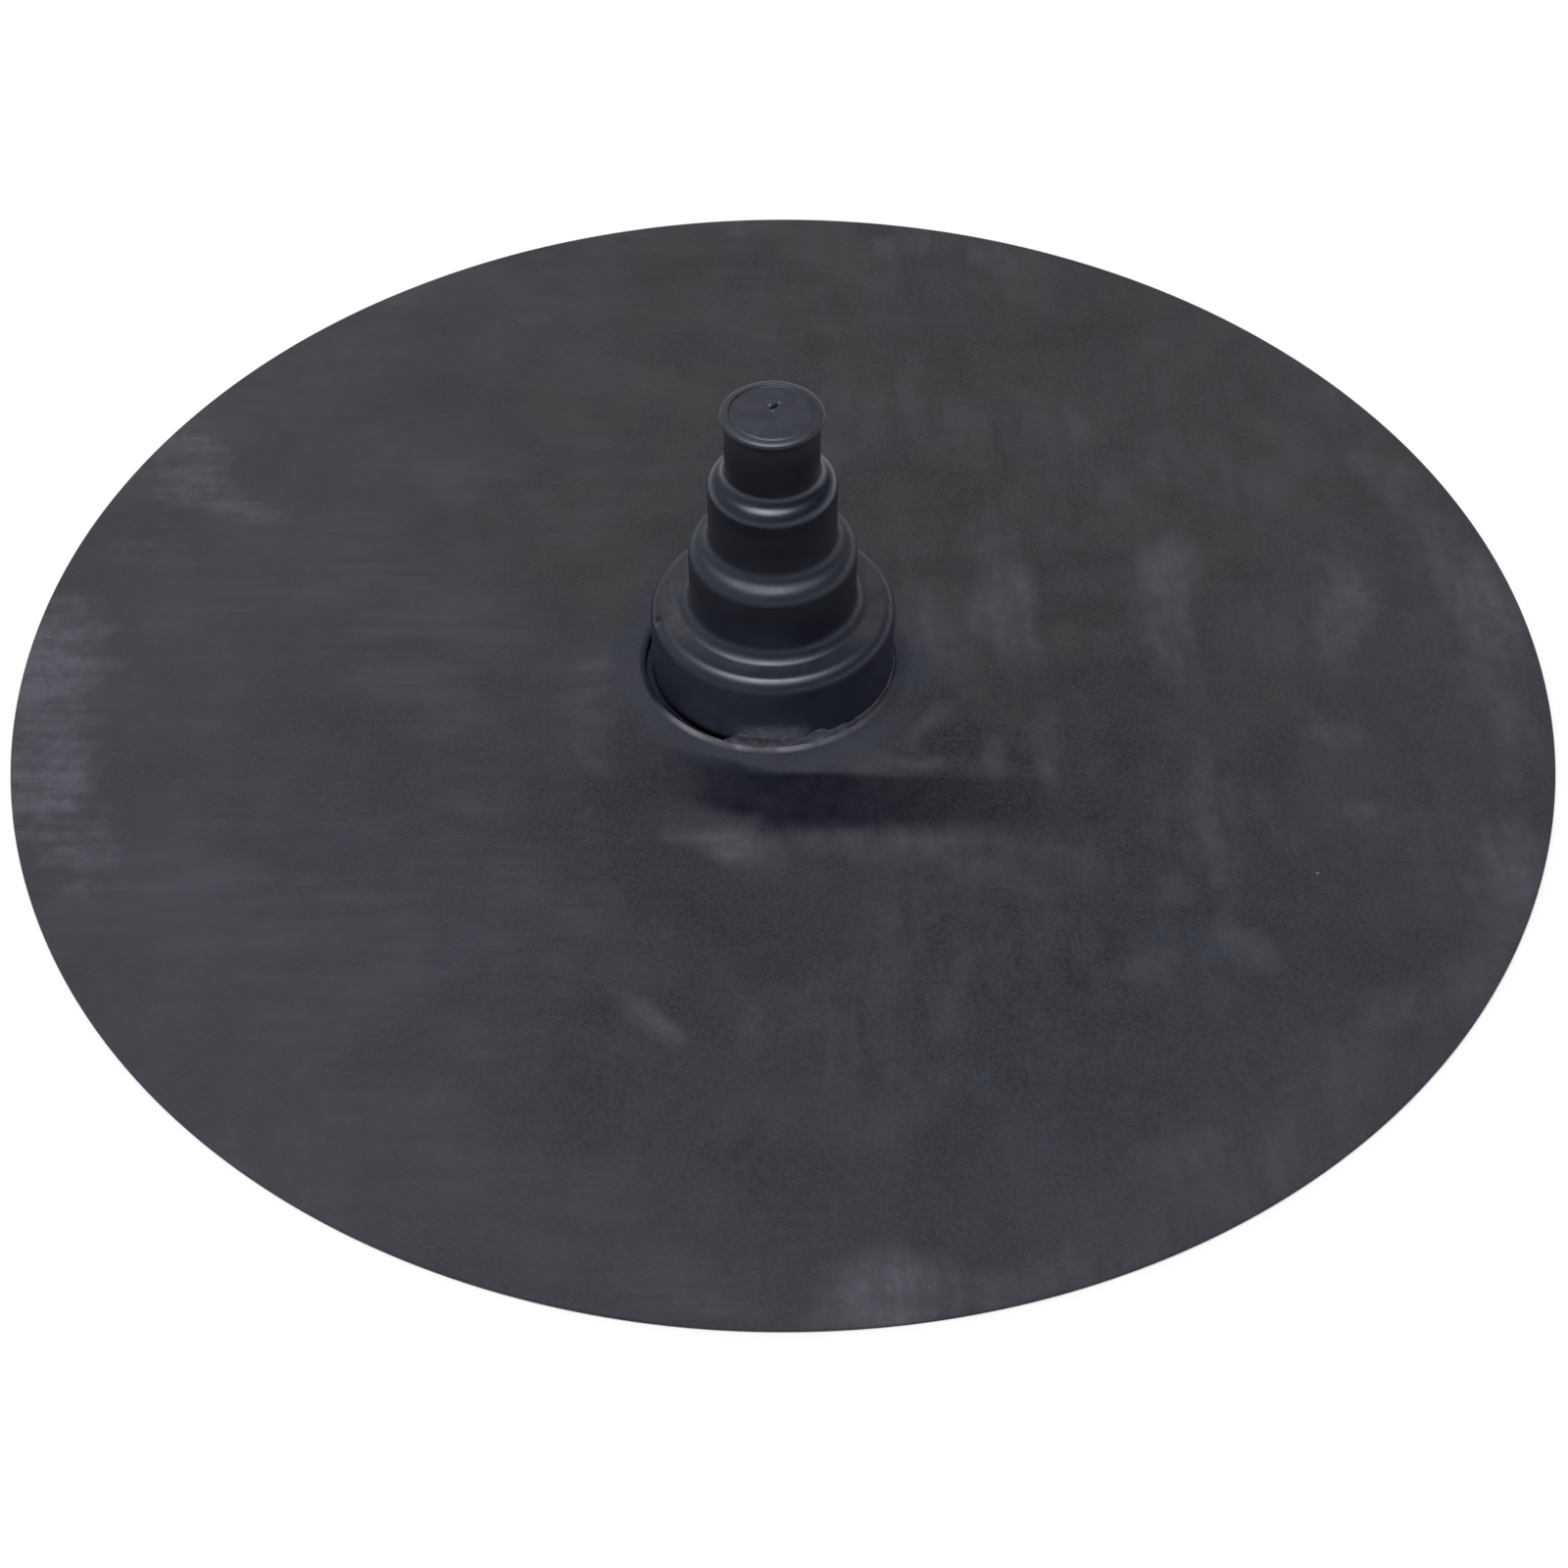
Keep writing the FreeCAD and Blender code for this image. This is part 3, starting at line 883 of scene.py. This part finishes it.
def splice_tape():
    """Bonding layer under the sheet: tacky black tape."""
    paint = Paint("splice tape")
    cloud = paint.noise(90, 4, 0.6, seed=1)
    colour = paint.mix(paint.ranged(cloud, 0.35, 0.65), grey(0.012, 0.04), grey(0.024, 0.02))
    rough = paint.ranged(paint.noise(260, 3, seed=3), 0.3, 0.7, 0.6, 0.85)
    pull = paint.bump(paint.noise(500, 3, 0.6, seed=7), 0.0002, 0.5)
    return paint.finish(colour, rough, pull, 1.5, 0.4)


def floor_paint():
    """Plain pale floor with the faintest mottling."""
    paint = Paint("studio floor")
    cloud = paint.noise(3, 3, 0.5, seed=1)
    colour = paint.mix(cloud, grey(0.86), grey(0.885))
    rough = paint.ranged(cloud, 0.3, 0.7, 0.82, 0.92)
    return paint.finish(colour, rough, paint.bump(cloud, 0.0001, 0.1), 1.45, 0.1)


# ---------------------------------------------------------------- staging

def studio_floor():
    """A round pale floor that curves up into a low wall."""
    profile = [(FLOOR_RADIUS * step / 6, 0.0) for step in range(1, 7)]
    profile += arc((FLOOR_RADIUS, FLOOR_COVE), FLOOR_COVE, 270, 360, 12)
    profile += [(FLOOR_RADIUS + FLOOR_COVE, BACKDROP_TOP)]
    points = []
    for radius, height in profile:
        for step in range(FLOOR_STEPS):
            angle = 2 * math.pi * step / FLOOR_STEPS
            points.append((radius * math.cos(angle), radius * math.sin(angle), height - FLOOR_GAP))
    points.append((0, 0, -FLOOR_GAP))
    faces = close_ring(0, len(points) - 1, FLOOR_STEPS)
    for row in range(len(profile) - 1):
        faces += join_rings(row * FLOOR_STEPS, (row + 1) * FLOOR_STEPS, FLOOR_STEPS)
    floor = mesh_object("studio_floor", points, faces)
    floor.data.materials.append(floor_paint())


def key_light():
    """One broad light, nearly overhead."""
    sun = bpy.data.lights.new("studio_key", "SUN")
    sun.energy = SUN_STRENGTH
    sun.angle = SUN_SPREAD
    sun.color = (1.02, 1.0, 0.97)
    lamp = bpy.data.objects.new("studio_key", sun)
    toward = Vector((math.cos(SUN_ELEVATION) * math.cos(SUN_AZIMUTH),
                     math.cos(SUN_ELEVATION) * math.sin(SUN_AZIMUTH),
                     math.sin(SUN_ELEVATION)))
    lamp.rotation_euler = toward.to_track_quat("Z", "Y").to_euler()
    bpy.context.scene.collection.objects.link(lamp)


def sky():
    """A bluish sky that is brighter on the left."""
    world = bpy.data.worlds.new("studio_sky")
    bpy.context.scene.world = world
    world.use_nodes = True
    nodes = world.node_tree.nodes
    links = world.node_tree.links
    background = nodes["Background"]
    background.inputs["Color"].default_value = (0.88, 0.95, 1.12, 1)
    parts = nodes.new("ShaderNodeSeparateXYZ")
    links.new(nodes.new("ShaderNodeTexCoord").outputs["Generated"], parts.inputs[0])
    across = nodes.new("ShaderNodeMapRange")
    across.inputs["From Min"].default_value = -1
    across.inputs["From Max"].default_value = 1
    across.inputs["To Min"].default_value = SKY_LEFT
    across.inputs["To Max"].default_value = SKY_RIGHT
    links.new(parts.outputs["X"], across.inputs["Value"])
    links.new(across.outputs["Result"], background.inputs["Strength"])


def camera():
    """The photograph's point of view."""
    lens = bpy.data.cameras.new("camera")
    lens.lens = LENS
    lens.sensor_width = 36
    eye = bpy.data.objects.new("camera", lens)
    eye.location = CAMERA_PLACE
    eye.rotation_euler = (math.pi / 2 - CAMERA_PITCH, 0, 0)
    bpy.context.scene.collection.objects.link(eye)
    bpy.context.scene.camera = eye


def dress(piece, node, material):
    """Puts a visual piece in the place of a CAD node."""
    piece.data.materials.append(material)
    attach(piece, "root")
    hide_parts(node)


cover = membrane_sheet()
dress(cover, "membrane_disc", sheet_rubber())
dress(boot(), "stepped_boot", moulded_rubber())
dress(seam_bead(), "sealant_bead", seam_sealant())

bond = frame["nodes"]["bond_ring"]
tape = splice_tape()
for place in bond.material_slots:
    place.material = tape

studio_floor()
key_light()
sky()
camera()
bpy.context.scene.view_settings.view_transform = "Standard"
